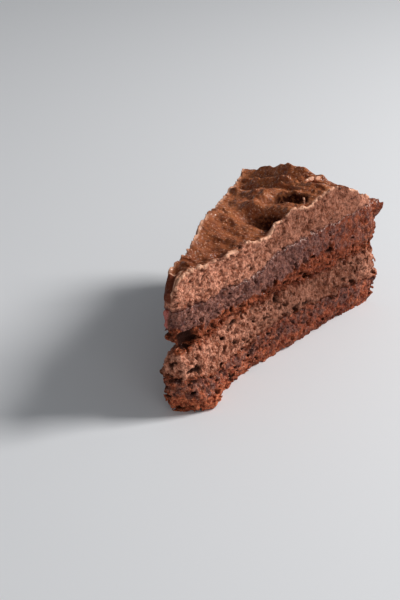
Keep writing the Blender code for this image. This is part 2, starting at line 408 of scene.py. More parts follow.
def food_walls():
    """How far inside the cut faces, the tip and the round outer side each sample lies."""
    right = side_x(1, Y, Z)
    left = side_x(-1, Y, Z)
    slope = math.cos(SLICE_ANGLE / 2)

    def shares(place):
        row = int((place - GRID_LOW[1]) / STEP)
        half = np.where(X > 0, right[:, row : row + 1], left[:, row : row + 1])
        return np.clip(X / half, *WIDTH_SHARES)

    undercut = BASE_UNDERCUT * fade(*BASE_UNDERCUT_TOP, Z) * fade(*BASE_UNDERCUT_START, Y)
    from_cuts = blend_min((right - X) * slope, (X + left) * slope, CUT_BLEND) - undercut
    from_tip = Y - tip_y(shares(TIP_WIDTH_PLACE), Z)
    from_rim = rim_y(shares(RIM_WIDTH_PLACE), Z) - Y
    return blend_min(from_cuts, from_tip, END_BLEND), from_rim


def nearest_crumb(points, cell):
    """How far each point lies from the centre of its own crumb, in crumbs about one cell apart."""
    counts = ((GRID_HIGH - GRID_LOW) / cell).astype(int) + 4
    jitter = RANDOM.random((*counts, 3), dtype=np.float32)
    place = (points - GRID_LOW.astype(np.float32)) / cell + 1
    home = place.astype(np.int32)
    nearest = np.full(len(points), FAR, np.float32)
    for offset in np.ndindex(3, 3, 3):
        index = home + np.array(offset, np.int32) - 1
        centre = index + jitter[index[:, 0], index[:, 1], index[:, 2]]
        nearest = np.minimum(nearest, ((place - centre) ** 2).sum(1))
    return np.sqrt(nearest)


# Pores by zone: how many to a square millimetre, their radii, and how flat they lie
PORES = {
    "lower": ((0.14, 0.42, 0.85, 0.85), (0.008, 0.9, 1.3, 0.7)),
    "filling": ((0.13, 0.42, 0.8, 0.9), (0.006, 0.8, 1.2, 0.8)),
    "crumb": ((0.16, 0.5, 1.0, 0.8), (0.034, 1.0, 1.9, 0.6)),
    "soaked": ((0.08, 0.42, 0.7, 0.85),),
    "topping": ((0.13, 0.4, 0.65, 0.9), (0.003, 0.7, 0.9, 0.9)),
}
PORE_STRETCH = (1.2, 1.25)
# Toward the round outer side the cut is calmer: the share of its pores and grain that is left there
CALM_REAR = (10, 105)
REAR_SHARE = 0.5
# The torn grain stands out and sinks in evenly about the walls: its mean depth before that
MEAN_PITTING = 0.42
# The colour's grain comes back toward the rim by this share, over these distances from the centre, and
# the painted shade toward the rim lifts again there
RIM_SHARE = 0.4
RIM_TORN = (106, 124)
# Larger hollows in the right-hand cut and at the tip: centre and half lengths
HOLLOWS = (
    (2.4, 9.2, 30.6, 2.2, 4.8, 2.8), (1.4, 9.4, 27.4, 2.0, 4.8, 2.4),
    (21.7, 94.1, 34.0, 1.6, 3.4, 1.3), (24.2, 99.5, 33.0, 1.2, 2.2, 1.5),
    (14.1, 61.2, 25.5, 1.5, 1.7, 1.5), (18.4, 80.4, 28.8, 1.3, 2.4, 1.2),
    (8.6, 37.1, 27.8, 1.6, 3.0, 1.2), (10.7, 46.2, 28.2, 1.4, 2.4, 1.4),
    (11.9, 51.5, 30.4, 1.3, 2.4, 1.2), (13.0, 56.5, 28.4, 1.2, 2.0, 1.0),
    (15.6, 67.5, 29.6, 1.4, 3.0, 1.3), (17.0, 73.5, 31.2, 1.2, 2.4, 1.1),
    (2.8, 12.0, 43.0, 0.9, 1.5, 1.6), (5.4, 23.3, 51.4, 0.9, 1.9, 1.0),
    (9.4, 40.8, 36.6, 0.9, 1.3, 0.9), (5.1, 22.1, 30.5, 1.2, 1.8, 1.1),
    (9.7, 42.1, 16.2, 1.0, 1.6, 1.2), (6.9, 26.7, 12.1, 1.2, 2.6, 1.0),
    (7.5, 21.7, 7.9, 1.2, 1.8, 1.0), (2.5, 8.2, 4.2, 1.1, 1.3, 1.4),
    (6.0, 13.6, 1.2, 1.0, 1.5, 1.3), (10.0, 19.0, 0.8, 1.2, 1.2, 1.0),
)
# The dark cavity under the topping's curl
CAVITY = (
    (3.0, 83.2, 58.0, 2.4, 2.0, 1.1),
    (6.2, 84.6, 57.2, 3.0, 2.6, 1.8),
    (9.8, 86.0, 56.8, 3.2, 3.0, 2.4),
    (12.8, 86.2, 57.0, 2.4, 3.0, 2.4),
)
# Where the topping lies in deep shade: the cavity, and the deepest trough's end beside the cut
CAVITY_SHADE = [(*hollow[:3], radius) for hollow, radius in zip(CAVITY, (1.4, 2.3, 2.8, 2.4))]
TROUGH_SHADE = (
    (3.0, 69.0, 53.6, 1.0), (8.0, 68.0, 53.2, 2.6), (11.0, 66.4, 53.0, 3.2), (12.6, 63.0, 51.0, 3.2),
)
SHADE_SPREAD = 2.4
TIP_SHADE = ((2.6, 10.0, 30.8, 2.0), (1.6, 10.2, 27.6, 1.8))

# Uneven walls of pores and strands, and the room that is worked on round them
PORE_WOBBLE = 0.3
PORE_ROOM = 0.7
STRAND_WOBBLE = 0.12
STRAND_REACH = 1.5
STRAND_ROOM = 1.2


def carve_ball(carved, wobble, centre, radius, stretch):
    """Opens one pore with an uneven wall, given in millimetres."""
    reach = radius * max(stretch) + PORE_ROOM
    low = ((centre - reach - GRID_LOW) / STEP).astype(int)
    high = ((centre + reach - GRID_LOW) / STEP).astype(int) + 2
    block = tuple(slice(max(0, a), max(0, b)) for a, b in zip(low, high))
    dx = (X[block[0]] - centre[0]) / stretch[0]
    dy = (Y[:, block[1]] - centre[1]) / stretch[1]
    dz = (Z[:, :, block[2]] - centre[2]) / stretch[2]
    ball = np.sqrt(dx * dx + dy * dy + dz * dz) - radius + PORE_WOBBLE * wobble[block]
    carved[block] = np.minimum(carved[block], ball)


def carve_hollows(carved, wobble, hollows):
    for *centre, rx, ry, rz in hollows:
        carve_ball(carved, wobble, np.array(centre), rx, (1, ry / rx, rz / rx))


def rear_calm(y):
    """The share of the torn detail left at a distance from the cake's centre."""
    return 1 - (1 - REAR_SHARE) * fade(*CALM_REAR, y)


def carve_pores(form):
    """The room outside all pores: as many and as large as each zone has, and the larger hollows."""
    carved = np.full(SHAPE, FAR, np.float32)
    surface = np.argwhere(np.abs(form.walls) < STEP / 2)
    surface = surface[(surface > 2).all(1) & (surface < np.array(SHAPE) - 3).all(1)]
    i, j, k = surface.T
    feet = (form.heights[1], form.heights[2], form.soaked_foot, form.heights[3])
    zones = sum((ZS[k] > foot[i, j, 0]).astype(int) for foot in feet)
    for number, recipes in enumerate(PORES.values()):
        here = surface[zones == number]
        for density, small, large, flatness in recipes:
            count = int(len(here) * STEP * STEP * density)
            picked = here[RANDOM.integers(len(here), size=count)]
            radii = small + (large - small) * RANDOM.random(count) ** 2
            kept = RANDOM.random(count) < rear_calm(YS[picked[:, 1]])
            for place, radius in zip(picked[kept], radii[kept]):
                centre = place * STEP + GRID_LOW
                carve_ball(carved, form.medium, centre, radius, (*PORE_STRETCH, flatness))
    carve_hollows(carved, form.medium, HOLLOWS)
    return carved


def join_strand(field, first_row, wobble, stations, blend):
    """Joins an uneven strand onto a field that starts at a row; a station is a point and its radius."""
    stations = np.array(stations)
    points, radii = stations[:, :3], stations[:, 3]
    reach = radii.max() + STRAND_ROOM
    origin = GRID_LOW + (0, 0, first_row * STEP)
    low = ((points.min(0) - reach - origin) / STEP).astype(int)
    high = ((points.max(0) + reach - origin) / STEP).astype(int) + 2
    block = tuple(slice(max(0, a), min(n, b)) for a, b, n in zip(low, high, field.shape))
    x, y, z = X[block[0]], Y[:, block[1]], Z[:, :, first_row:][:, :, block[2]]
    inside = np.full(field[block].shape, -FAR)
    for start, end, r0, r1 in zip(points, points[1:], radii, radii[1:]):
        ux, uy, uz = end - start
        along = (x - start[0]) * ux + (y - start[1]) * uy + (z - start[2]) * uz
        share = np.clip(along / (ux * ux + uy * uy + uz * uz), 0, 1)
        dx = x - start[0] - share * ux
        dy = y - start[1] - share * uy
        dz = z - start[2] - share * uz
        inside = np.maximum(inside, r0 + (r1 - r0) * share - np.sqrt(dx * dx + dy * dy + dz * dz))
    inside = inside + STRAND_WOBBLE * wobble[:, :, first_row:][block] * (inside > -STRAND_REACH)
    field[block] = -blend_min(-field[block], -inside, blend)


CORNERS = np.array([(i & 1, i >> 1 & 1, i >> 2 & 1) for i in range(8)])
PAIRS = [(a, b) for a in range(8) for b in range(a + 1, 8)]
EDGES = [(a, b) for a, b in PAIRS if np.abs(CORNERS[a] - CORNERS[b]).sum() == 1]
# A merged block of a buried seam is this many samples wide
BLOCK = 4
MOST_BLOCKS = 4096
# Samples that are carved away to untangle the surface lie this far outside it
OUTSIDE = -0.02
UNTANGLING_ROUNDS = 12
ALL_INSIDE = 255


def hangs_together(corners):
    """Whether a set of a cell's corners is joined up by the cell's edges."""
    reached = set(list(corners)[:1])
    for _ in corners:
        for a, b in EDGES + [(b, a) for a, b in EDGES]:
            reached |= {b} & corners if a in reached else set()
    return reached == set(corners)


def tangled_codes():
    """For each way that a cell's corners can lie in or out, whether the surface would pinch there."""
    tangled = np.zeros(ALL_INSIDE + 1, bool)
    for code in range(ALL_INSIDE + 1):
        inside = {i for i in range(8) if code >> i & 1}
        tangled[code] = not (hangs_together(inside) and hangs_together(set(range(8)) - inside))
    return tangled


TANGLED = tangled_codes()


def corner_codes(field):
    inside = (field > 0).astype(np.uint8)
    codes = np.zeros([n - 1 for n in field.shape], np.uint8)
    for number, corner in enumerate(CORNERS):
        block = tuple(slice(c, c + n - 1) for c, n in zip(corner, field.shape))
        codes |= inside[block] << number
    return codes


def untangle(field):
    """Carves away single samples where the surface would pinch or touch itself."""
    for _ in range(UNTANGLING_ROUNDS):
        cells = np.argwhere(TANGLED[corner_codes(field)])
        if not len(cells):
            return
        for corner in CORNERS:
            i, j, k = (cells + corner).T
            field[i, j, k] = np.minimum(field[i, j, k], OUTSIDE)


def largest_body(count, quads):
    """Which vertices belong to the surface's largest connected body."""
    label = np.arange(count)
    while True:
        low = label[quads].min(1)
        joined = label.copy()
        np.minimum.at(joined, quads.ravel(), np.repeat(low, 4))
        joined = joined[joined]
        if (joined == label).all():
            return label == np.bincount(label).argmax()
        label = joined


def closed_surface(field):
    """The closed surface where a field is zero: cells, vertices in grid units, and faces of four."""
    untangle(field)
    codes = corner_codes(field)
    active = (codes != 0) & (codes != ALL_INSIDE)
    cells = np.argwhere(active)
    ids = np.full(codes.shape, -1, np.int32)
    ids[active] = np.arange(len(cells))
    values = np.stack([field[tuple((cells + corner).T)] for corner in CORNERS], 1)
    total = np.zeros((len(cells), 3))
    crossings = np.zeros((len(cells), 1))
    for a, b in EDGES:
        here = (values[:, a] > 0) != (values[:, b] > 0)
        gap = np.where(here, values[:, a] - values[:, b], 1)
        share = np.where(here, values[:, a] / gap, 0)[:, None]
        total += here[:, None] * (CORNERS[a] + share * (CORNERS[b] - CORNERS[a]))
        crossings += here[:, None]
    vertices = cells + total / crossings
    inside = field > 0
    quads = []
    for axis in range(3):
        first, second = (axis + 1) % 3, (axis + 2) % 3
        low = np.take(inside, range(field.shape[axis] - 1), axis)
        high = np.take(inside, range(1, field.shape[axis]), axis)
        for crossing, order in ((low & ~high, 1), (high & ~low, -1)):
            place = np.argwhere(crossing)
            ring = []
            for a, b in ((1, 1), (0, 1), (0, 0), (1, 0))[::order]:
                shifted = place.copy()
                shifted[:, first] -= a
                shifted[:, second] -= b
                ring.append(ids[tuple(shifted.T)])
            quads.append(np.stack(ring, 1))
    quads = np.concatenate(quads)
    kept = largest_body(len(vertices), quads)
    renumbered = np.cumsum(kept) - 1
    return cells[kept], vertices[kept], renumbered[quads[kept[quads[:, 0]]]]


def merge_buried(cells, vertices, quads, buried, upper):
    """Merges the vertices of a buried seam block by block of the grid, and keeps the surface closed."""
    blocks = cells[:, :2] // BLOCK
    key = (blocks[:, 0] * MOST_BLOCKS + blocks[:, 1]) * 2 + upper
    _, home = np.unique(key, return_inverse=True)
    whole = np.bincount(home, buried) == np.bincount(home)
    merged = whole[home]
    label = np.where(merged, len(vertices) + home, np.arange(len(vertices)))
    _, label = np.unique(label, return_inverse=True)
    counts = np.bincount(label)
    means = np.stack([np.bincount(label, vertices[:, axis]) / counts for axis in range(3)], 1)
    faces = label[quads]
    same = faces == np.roll(faces, -1, 1)
    whole_quads = faces[~same.any(1)]
    ones = same.sum(1) == 1
    triangles = faces[ones][~same[ones]].reshape(-1, 3)
    first = np.full(counts.size, -1)
    first[label[::-1]] = np.arange(len(vertices))[::-1]
    return means, [whole_quads, triangles], first


def read_field(field, places):
    """A field's values at places in grid units, between its samples."""
    base = np.minimum(places.astype(int), np.array(field.shape) - 2)
    t = places - base
    value = 0
    for corner in CORNERS:
        weight = np.where(corner, t, 1 - t).prod(1)
        value = value + weight * field[tuple((base + corner).T)]
    return value


def new_piece(name, vertices, face_sets, measures, material):
    """A mesh object in the row's frame, with one number a vertex for each measure."""
    data = bpy.data.meshes.new(name)
    data.vertices.add(len(vertices))
    placed = (vertices - (0, ORIGIN_FROM_CENTRE, 0)) * MM
    data.vertices.foreach_set("co", placed.astype(np.float32).ravel())
    corners = np.concatenate([faces.ravel() for faces in face_sets]).astype(np.int32)
    sizes = np.concatenate([np.full(len(faces), faces.shape[1]) for faces in face_sets])
    data.loops.add(len(corners))
    data.loops.foreach_set("vertex_index", corners)
    data.polygons.add(len(sizes))
    data.polygons.foreach_set("loop_start", (np.cumsum(sizes) - sizes).astype(np.int32))
    for label, values in measures.items():
        layer = data.attributes.new(label, "FLOAT", "POINT")
        layer.data.foreach_set("value", np.broadcast_to(values, len(vertices)).astype(np.float32))
    data.update(calc_edges=True)
    data.validate()
    data.shade_smooth()
    data.materials.append(material)
    piece = bpy.data.objects.new(name, data)
    bpy.context.scene.collection.objects.link(piece)
    print(name, (sizes - 2).sum(), "triangles")
    return piece


# Where a mix node has its two values and its result
MIX_SOCKETS = {"FLOAT": (2, 3, 0), "VECTOR": (4, 5, 1)}


class Shading:
    """A material's nodes, with short ways to add the kinds used here."""

    def __init__(self, name):
        self.material = bpy.data.materials.new(name)
        self.material.use_nodes = True
        self.tree = self.material.node_tree
        self.shader = self.tree.nodes["Principled BSDF"]
        self.place = self.add("ShaderNodeTexCoord").outputs["Object"]

    def add(self, kind, **settings):
        node = self.tree.nodes.new(kind)
        for key, value in settings.items():
            setattr(node, key, value)
        return node

    def set(self, socket, value):
        if isinstance(value, bpy.types.NodeSocket):
            self.tree.links.new(value, socket)
        else:
            socket.default_value = value

    def shade(self, name, value):
        self.set(self.shader.inputs[name], value)

    def measure(self, name):
        return self.add("ShaderNodeAttribute", attribute_name=name).outputs["Fac"]

    def noise(self, wave, detail=2, stretch=(1, 1, 1)):
        """Smooth noise from 0 to 1 whose lumps are about one wave across, in millimetres."""
        mapping = self.add("ShaderNodeMapping")
        self.set(mapping.inputs["Vector"], self.place)
        mapping.inputs["Scale"].default_value = [1 / (wave * MM * s) for s in stretch]
        turn = STROKE_DIRECTION if stretch != (1, 1, 1) else 0
        mapping.inputs["Rotation"].default_value = (0, 0, turn)
        node = self.add("ShaderNodeTexNoise")
        self.set(node.inputs["Vector"], mapping.outputs["Vector"])
        node.inputs["Scale"].default_value = 1
        node.inputs["Detail"].default_value = detail
        return node.outputs["Fac"]

    def cells(self, width):
        """Crumb-like cells: how far from each one's centre, and one random number for each."""
        node = self.add("ShaderNodeTexVoronoi")
        self.set(node.inputs["Vector"], self.place)
        node.inputs["Scale"].default_value = 1 / (width * MM)
        return node.outputs["Distance"], node.outputs["Color"]

    def math(self, operation, *values):
        node = self.add("ShaderNodeMath", operation=operation)
        for socket, value in zip(node.inputs, values):
            self.set(socket, value)
        return node.outputs["Value"]

    def times(self, *values):
        return self.math("MULTIPLY", *values)

    def weighted(self, *parts):
        """The sum of some values, each times its weight."""
        terms = [self.times(value, weight) for value, weight in parts]
        total = terms[0]
        for term in terms[1:]:
            total = self.math("ADD", total, term)
        return total

    def between(self, value, low, high, out_low=0.0, out_high=1.0):
        node = self.add("ShaderNodeMapRange", interpolation_type="SMOOTHSTEP")
        for socket, number in zip(node.inputs, (value, low, high, out_low, out_high)):
            self.set(socket, number)
        return node.outputs["Result"]

    def mix(self, share, first, second, blend="MIX"):
        node = self.add("ShaderNodeMix", data_type="RGBA", blend_type=blend, clamp_factor=True)
        self.set(node.inputs["Factor"], share)
        for socket, colour in ((node.inputs["A"], first), (node.inputs["B"], second)):
            self.set(socket, (*colour, 1) if isinstance(colour, tuple) else colour)
        return node.outputs["Result"]

    def mix_plain(self, kind, share, first, second):
        """A mix of two numbers (FLOAT) or two directions (VECTOR)."""
        node = self.add("ShaderNodeMix", data_type=kind)
        a, b, result = MIX_SOCKETS[kind]
        for number, value in ((0, share), (a, first), (b, second)):
            self.set(node.inputs[number], value)
        return node.outputs[result]

    def bump(self, height, reach, strength, before=None, sunk=False):
        node = self.add("ShaderNodeBump", invert=sunk)
        self.set(node.inputs["Height"], height)
        node.inputs["Distance"].default_value = reach * MM
        node.inputs["Strength"].default_value = strength
        if before is not None:
            self.set(node.inputs["Normal"], before)
        return node.outputs["Normal"]


# Linear colours, as the food's own surface shows them in even white light: light, dark and fleck, the
# fleck partly a painted highlight; the painted shade and highlight colours among them are marked
CREAM = ((0.78, 0.335, 0.215), (0.26, 0.075, 0.036), (0.88, 0.5, 0.34))
CRUMB = ((0.39, 0.094, 0.038), (0.12, 0.02, 0.008), (0.74, 0.31, 0.16))
LOW_CRUMB = ((0.66, 0.175, 0.08), (0.19, 0.028, 0.012), (0.9, 0.46, 0.24))
SOAKED = ((0.31, 0.125, 0.088), (0.085, 0.03, 0.026), (0.45, 0.26, 0.21))
UNDER_TOPPING = (SOAKED[0], CRUMB[1], SOAKED[2])
SKIN_LIGHT = (0.46, 0.15, 0.055)
SKIN_DARK = (0.16, 0.035, 0.012)
SHADED_SKIN = (0.1, 0.018, 0.01)
# Painted shade in the topping's sunk hollows, its cavity and its deepest trough
SUNK_SHADE = (0.045, 0.009, 0.004)
# Painted highlight along the topping's cut edges, on the glossy bump and the curl, and painted glints
# on the skin
LIP_HIGHLIGHT = (0.8, 0.42, 0.27)
# Pale wet specks along the seams, partly painted highlight
DEW_GLINT = (0.6, 0.36, 0.29)
# Painted shade in the gaps between crumb clumps and in small hollows
GAP_SHADE = (0.055, 0.012, 0.005)
# Painted shade in pits, recesses and the tip's hollow
PIT_SHADE = (0.024, 0.006, 0.003)
GLAZE = (0.42, 0.1, 0.075)
# Each food: how dark its painted shade makes it toward the rim, its own colours, and those that it is
# mixed with
FOODS = {
    "lower_sponge": (0.78, *LOW_CRUMB, *SOAKED),
    "whipped_filling": (0.58, *CREAM, *CRUMB),
    "moist_sponge": (1.0, *CRUMB, *SOAKED),
    "whipped_topping": (0.7, *CREAM, *UNDER_TOPPING),
}
# Gloss of moist crumb and of smeared cream, and the dull food under it
CRUMB_COAT_ROUGHNESS = 0.14
SKIN_COAT_ROUGHNESS = 0.09
FOOD_ROUGHNESS = 0.7
FOOD_SPECULAR = 0.06
# Sizes of the torn food's clumps, gaps, grit and patches, in millimetres
CLUMP = 1.2
HOLLOW = 0.85
GRIT = 0.55
PATCH = 5.5


def torn_food(name):
    """Torn crumb or cut cream: light grain tips, painted shade in the gaps, pits and toward the rim,
    and a neighbour's colours mixed in.
    """
    rim_painted_shade, light, dark, fleck_colour, other_light, other_dark, other_fleck = FOODS[name]
    s = Shading(name)
    clump_far, clump_tint = s.cells(CLUMP)
    hollow = s.noise(HOLLOW, 4)
    grit = s.noise(GRIT, 2)
    tone = s.weighted((clump_tint, 0.35), (s.noise(1.7, 3), 0.9), (s.noise(PATCH, 3), 0.8))
    rough = s.measure("rough")
    # Painted shade: the tone darkens toward the rim and lifts again at the rim itself
    tone = s.times(s.between(tone, 0.72, 1.35), s.between(rough, REAR_SHARE, 1, 0.55, 1))
    colour = s.mix(tone, dark, light)
    shifted = s.mix(tone, other_dark, other_light)
    other = s.measure("other")
    share = s.weighted((other, 1.0), (s.math("SUBTRACT", s.noise(2.6, 4), 0.5), 2.0))
    share = s.times(s.between(share, 0.2, 0.9), s.between(other, 0, 0.15))
    colour = s.mix(share, colour, shifted)
    # Pale flecks on the grain, partly the crumb's own light grains and partly painted highlight
    fleck_and_glint = s.times(rough, s.between(grit, 0.56, 0.68, 0.0, 0.5))
    colour = s.mix(fleck_and_glint, colour, s.mix(share, fleck_colour, other_fleck))
    # Painted shade: the gaps between clumps and the hollows are darkened, less toward the rim
    gap = s.math("MAXIMUM", s.between(clump_far, 0.5, 0.85), s.between(hollow, 0.47, 0.36))
    gap = s.times(gap, s.between(rough, REAR_SHARE, 1, 0.38, 0.54))
    colour = s.mix(gap, colour, GAP_SHADE)
    # Painted shade toward the rim, lifted again at the rim itself
    colour = s.mix(1.0, colour, s.between(rough, 0.66, 1, rim_painted_shade, 1), "MULTIPLY")
    # Pale wet specks along the seams, partly painted highlight; they also carry the gloss
    dew_glint = s.times(s.measure("dew_glint"), s.between(s.noise(1.3, 3), 0.5, 0.62))
    colour = s.mix(dew_glint, colour, DEW_GLINT)
    glaze = s.measure("glaze")
    colour = s.mix(glaze, colour, GLAZE)
    # Painted shade: pits and recesses darkened by how deep they lie
    pit = s.between(s.measure("pit"), 0.15, 1.0)
    colour = s.mix(pit, colour, PIT_SHADE)
    s.shade("Base Color", colour)
    damp = s.times(s.measure("wet"), s.between(s.noise(0.9, 2), 0.5, 0.62))
    wetness = s.math("MAXIMUM", damp, s.math("MAXIMUM", glaze, dew_glint))
    dry = s.math("MAXIMUM", gap, pit)
    s.shade("Coat Weight", s.times(wetness, s.math("SUBTRACT", 1.0, dry)))
    s.shade("Coat Roughness", CRUMB_COAT_ROUGHNESS)
    s.shade("Roughness", FOOD_ROUGHNESS)
    s.shade("Specular IOR Level", FOOD_SPECULAR)
    normal = s.bump(grit, 0.4, 0.55)
    normal = s.bump(clump_far, 0.45, 0.65, normal, sunk=True)
    normal = s.bump(hollow, 0.7, 0.75, normal)
    s.shade("Normal", normal)
    s.shade("Coat Normal", normal)
    return s


def whipped_topping():
    """The topping: pitted and pale where it is cut, brown and satin where it was smeared."""
    s = torn_food("whipped_topping")
    s.shade("Coat Roughness", SKIN_COAT_ROUGHNESS)
    cut_names = ("Base Color", "Coat Weight", "Normal")
    cut = [s.shader.inputs[name].links[0].from_socket for name in cut_names]
    cut_colour, cut_coat, cut_normal = cut
    streaks = s.noise(0.75, 3, (6, 0.8, 1.2))
    lumps = s.noise(1.3, 3)
    tone = s.weighted((streaks, 0.25), (s.noise(6, 5), 0.4), (lumps, 0.35))
    skin_colour = s.mix(s.between(tone, 0.33, 0.66), SKIN_DARK, SKIN_LIGHT)
    skin_colour = s.mix(s.between(s.measure("rough"), REAR_SHARE, 1, 0, 0.5), skin_colour, SKIN_DARK)
    # Painted glints: small pale spots on the skin
    painted_glints = s.between(s.noise(0.8, 1), 0.63, 0.7, 0, 0.65)
    skin_colour = s.mix(painted_glints, skin_colour, LIP_HIGHLIGHT)
    low, pit, skin = s.measure("sunk"), s.measure("pit"), s.measure("skin")
    # Painted shade in sunk hollows, broken up by the lumps
    sunk = s.times(low, s.between(lumps, 0.66, 0.46, 0.55, 1))
    skin_colour = s.mix(sunk, skin_colour, SUNK_SHADE)
    # Painted shade on the skin in pits and on the tip's smeared side
    skin_colour = s.mix(pit, skin_colour, SHADED_SKIN)
    colour = s.mix(skin, cut_colour, skin_colour)
    # Painted highlight along the cut edges, the tip's smeared side, the glossy bump and the curl
    s.shade("Base Color", s.mix(s.measure("crest"), colour, LIP_HIGHLIGHT))
    glints = s.between(s.noise(1.2, 3), 0.48, 0.57, 0.06, 1.0)
    dull = s.math("MINIMUM", s.math("MAXIMUM", low, s.times(pit, 1.3)), 1.0)
    skin_coat = s.times(glints, s.math("SUBTRACT", 1.0, dull))
    s.shade("Coat Weight", s.mix_plain("FLOAT", skin, cut_coat, skin_coat))
    skin_normal = s.bump(streaks, 0.6, 0.7)
    skin_normal = s.bump(lumps, 0.7, 0.75, skin_normal)
    skin_normal = s.bump(s.noise(0.6, 2), 0.35, 0.6, skin_normal)
    normal = s.mix_plain("VECTOR", skin, cut_normal, skin_normal)
    s.shade("Normal", normal)
    s.shade("Coat Normal", normal)
    return s


LAYERS = ("sponge_lower", "cream_filling", "sponge_upper", "cream_topping")
# The gap between two layers, how near it a surface is a seam, and how deep in the seam is buried
SEAM = 0.03
SEAM_REACH = 0.8
BURIED_DEPTH = 3.2
# Torn relief: the noises' waves, from broad lumps to fine pits, and how deep each goes
LUMP_WAVES = ((4.5, 4.5, 3.6), (2.0, 2.0, 1.8), (1.0, 1.0, 0.95), (0.76, 0.76, 0.76))
COARSE_LUMP, MEDIUM_LUMP, FINE_PIT, FINEST_PIT = 0.42, 0.3, 1.1, 0.75
FINE_RANGE = (0.2, 1.7)
FINEST_RANGE = (0.1, 1.6)
# Granules, each kind given by its share and its size, and how far out of and into the food they reach
GRANULES = ((0.7, 1.5), (0.3, 0.95))
GRAIN_BAND = (-1.0, 2.8)
# How strong the fine and the broad relief are in each kind of food, and how they fade toward the rim
SMOOTH_DETAIL, CRUMB_DETAIL = 0.62, 1.2
TOPPING_LUMPS, OTHER_LUMPS = 0.45, 0.9
LEAST_LUMPS = 0.4
LEAST_DETAIL, DETAIL_GAIN = 0.2, 0.95
# The smeared left side of the topping's tip
TIP_LEAN, TIP_LEVEL = 0.1, 50
TIP_ACROSS, TIP_ALONG, TIP_HEIGHTS = (0.3, -0.5), (13, 9.5), (43, 46)
CAVITY_BLEND = 0.8
BESIDE_TOPPING = 0.15
# Depth in millimetres at which the painted shade in pits is full
PIT_DEPTH = 1.9
STRAND_BLEND, TOPPING_STRAND_BLEND = 0.6, 1.0
# Strands of topping and crumb that stand clear of the form: points with a radius each
CURL = (
    (17.2, 76.4, 58.4, 0.6), (17.0, 78.8, 59.3, 0.6), (16.4, 81.0, 60.0, 0.55),
    (14.8, 83.4, 60.5, 0.5), (13.0, 85.4, 60.6, 0.4),
)
TIP_RIDGE = (
    (-2.6, 18.0, 54.2, 0.6), (-1.2, 17.2, 54.6, 1.0), (0.8, 17.1, 54.4, 0.8), (3.2, 18.6, 55.0, 0.9),
)
LEFT_CURLS = (
    ((-13.6, 63.4, 54.9, 1.2), (-12.6, 65.8, 56.0, 1.1), (-11.4, 68.6, 55.6, 1.2)),
    ((-11.2, 68.4, 55.4, 1.1), (-8.6, 66.6, 55.9, 1.0), (-5.6, 64.9, 55.3, 0.9)),
    ((-6.4, 62.9, 54.7, 1.0), (-5.0, 61.6, 55.1, 0.9), (-3.4, 60.9, 54.5, 0.8)),
    ((-12.0, 57.6, 54.6, 1.0), (-10.6, 57.0, 55.2, 0.9), (-9.2, 56.8, 54.6, 0.8)),
)
GLOSSY_BUMP = ((8.8, 100.2, 60.3, 0.6), (10.2, 103.0, 60.6, 0.9), (12.0, 106.4, 60.3, 0.6))
RIM_TOOTH = (
    (26.6, 124.8, 43.4, 2.0), (28.8, 127.2, 43.6, 1.8),
    (30.4, 128.6, 43.8, 1.2), (31.6, 129.4, 44.8, 0.5),
)
RIM_SPUR = ((28.4, 127.6, 40.6, 1.8), (29.6, 128.6, 41.6, 1.3), (30.6, 129.0, 42.8, 0.8))
DRIP = (
    (-3.4, 7.0, 43.6, 0.5), (-3.9, 7.4, 41.6, 0.6), (-4.4, 7.8, 39.0, 0.8),
    (-3.8, 7.6, 36.6, 0.5), (-4.2, 7.8, 34.6, 0.8),
)
SHELF_CRUMB = ((-2.0, 8.6, 30.2, 1.5), (-3.6, 8.8, 30.0, 1.5), (-4.6, 9.0, 29.6, 0.9))
SIDE_CRUMB = ((-4.6, 9.5, 15.5, 1.6), (-6.0, 9.6, 15.0, 1.7), (-6.2, 9.4, 13.8, 1.0))
STRANDS = {
    "sponge_lower": (),
    "cream_filling": (SIDE_CRUMB,),
    "sponge_upper": (RIM_TOOTH, RIM_SPUR, DRIP, SHELF_CRUMB),
    "cream_topping": (CURL, TIP_RIDGE, GLOSSY_BUMP, *LEFT_CURLS),
}


def rows_between(low, high):
    """The slice of grid rows that holds a height range, with room round it."""
    first = max(0, int((low - GRID_LOW[2]) / STEP) - 2)
    last = min(SHAPE[2], int((high - GRID_LOW[2]) / STEP) + 4)
    return slice(first, last)


def near_strand(world, stations, spread):
    """1 on a strand and 0 from spread millimetres outside it."""
    nearest = np.full(len(world), FAR)
    for start, end in zip(np.array(stations), np.array(stations[1:])):
        for share in (0, 0.25, 0.5, 0.75, 1):
            *point, radius = start + share * (end - start)
            nearest = np.minimum(nearest, np.linalg.norm(world - point, axis=1) - radius)
    return 1 - fade(0.2, spread, nearest)


